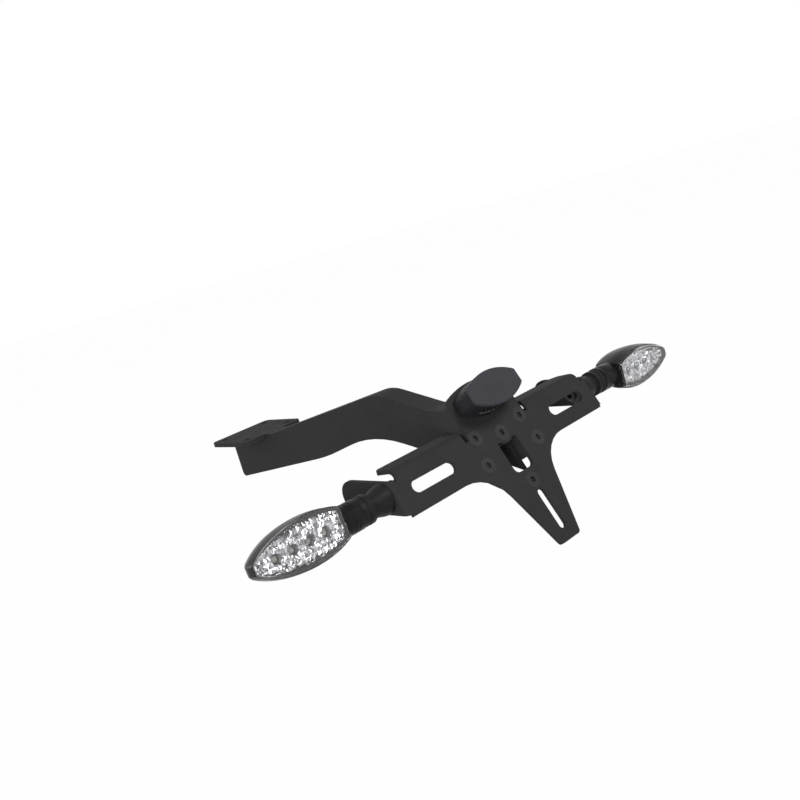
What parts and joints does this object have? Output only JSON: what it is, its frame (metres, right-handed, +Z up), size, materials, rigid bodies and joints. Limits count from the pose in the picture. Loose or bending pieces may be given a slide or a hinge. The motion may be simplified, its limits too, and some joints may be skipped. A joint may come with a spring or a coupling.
{
  "type": "motorcycle tail tidy",
  "caption": "Motorcycle tail tidy: slotted number plate bracket on a narrow hollow arm, with a plate lamp and a pair of LED indicators.",
  "frame": {"origin": "centre of the four bike mount holes, on the upper face of the arm's mounting flange", "axes": "+X to the motorcycle's right, +Y towards its front, +Z up; the number plate bracket faces back and a little up"},
  "size_m": [0.4268, 0.3798, 0.1231],
  "materials": {
    "black_powder_coat": "fine matte black powder coat",
    "black_oxide": "satin black fastener finish",
    "lamp_black": "fine satin black",
    "rubber": "matte moulded rubber",
    "gloss_black_shell": "polished black",
    "clear_lens": "clear moulded lens",
    "silver_reflector": "faceted bright silver",
    "circuit_board": "solder mask",
    "led": "clear dome over a pale die",
    "zinc_steel": "zinc plated"
  },
  "bodies": {
    "root": {"main_arm": "black_powder_coat", "plate_bracket": "black_powder_coat", "bracket_screws": "black_oxide", "lamp_gasket": "rubber", "lamp_housing": "lamp_black", "lamp_cap": "lamp_black", "lamp_lens": "clear_lens", "lamp_board": "circuit_board", "lamp_leds": "led", "lamp_screws": "zinc_steel", "left_boot": "rubber", "left_stem": "black_oxide", "left_washer": "black_oxide", "left_nut": "black_oxide", "left_shell": "gloss_black_shell", "left_reflector": "silver_reflector", "left_board": "circuit_board", "left_leds": "led", "left_lens": "clear_lens", "right_boot": "rubber", "right_stem": "black_oxide", "right_washer": "black_oxide", "right_nut": "black_oxide", "right_shell": "gloss_black_shell", "right_reflector": "silver_reflector", "right_board": "circuit_board", "right_leds": "led", "right_lens": "clear_lens"}
  },
  "joints": []
}
